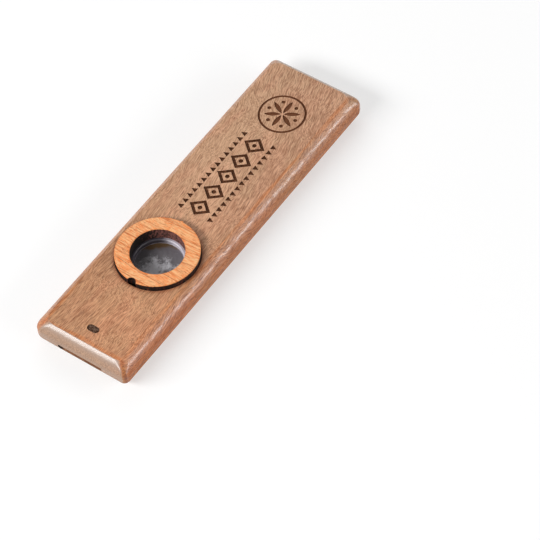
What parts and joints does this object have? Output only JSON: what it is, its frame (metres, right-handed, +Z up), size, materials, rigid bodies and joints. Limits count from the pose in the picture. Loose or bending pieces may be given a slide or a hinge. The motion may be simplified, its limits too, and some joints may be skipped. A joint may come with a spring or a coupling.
{
  "type": "kazoo",
  "caption": "Flat wooden bar kazoo with an airway slot at each end and a film membrane in a round seat, held down by a wooden ring.",
  "frame": {"origin": "centre of the bar's underside", "axes": "+X from the mouth end to the outlet, +Y across the bar, +Z up through the membrane seat"},
  "size_m": [0.12, 0.0328, 0.011],
  "materials": {
    "lower_board": "satin lacquer",
    "upper_board": "satin lacquer",
    "film": "thin wrinkled film",
    "frame_plastic": "milky, translucent",
    "ring_wood": "sanded, edges charred by the laser"
  },
  "bodies": {
    "bar": {"lower_body": "lower_board", "upper_body": "upper_board"},
    "membrane": {"membrane_film": "film", "membrane_frame": "frame_plastic"},
    "ring": {"retaining_ring": "ring_wood"}
  },
  "joints": [
    {"name": "ring_lift", "type": "slide", "parent": "bar", "child": "ring", "axis": [0, 0, 1], "range_m": [0, 0.016]},
    {"name": "membrane_lift", "type": "slide", "parent": "bar", "child": "membrane", "axis": [0, 0, 1], "range_m": [0, 0.008]}
  ],
  "couplings": [
    {"joint": "membrane_lift", "follows": "ring_lift", "ratio": 0.5}
  ]
}
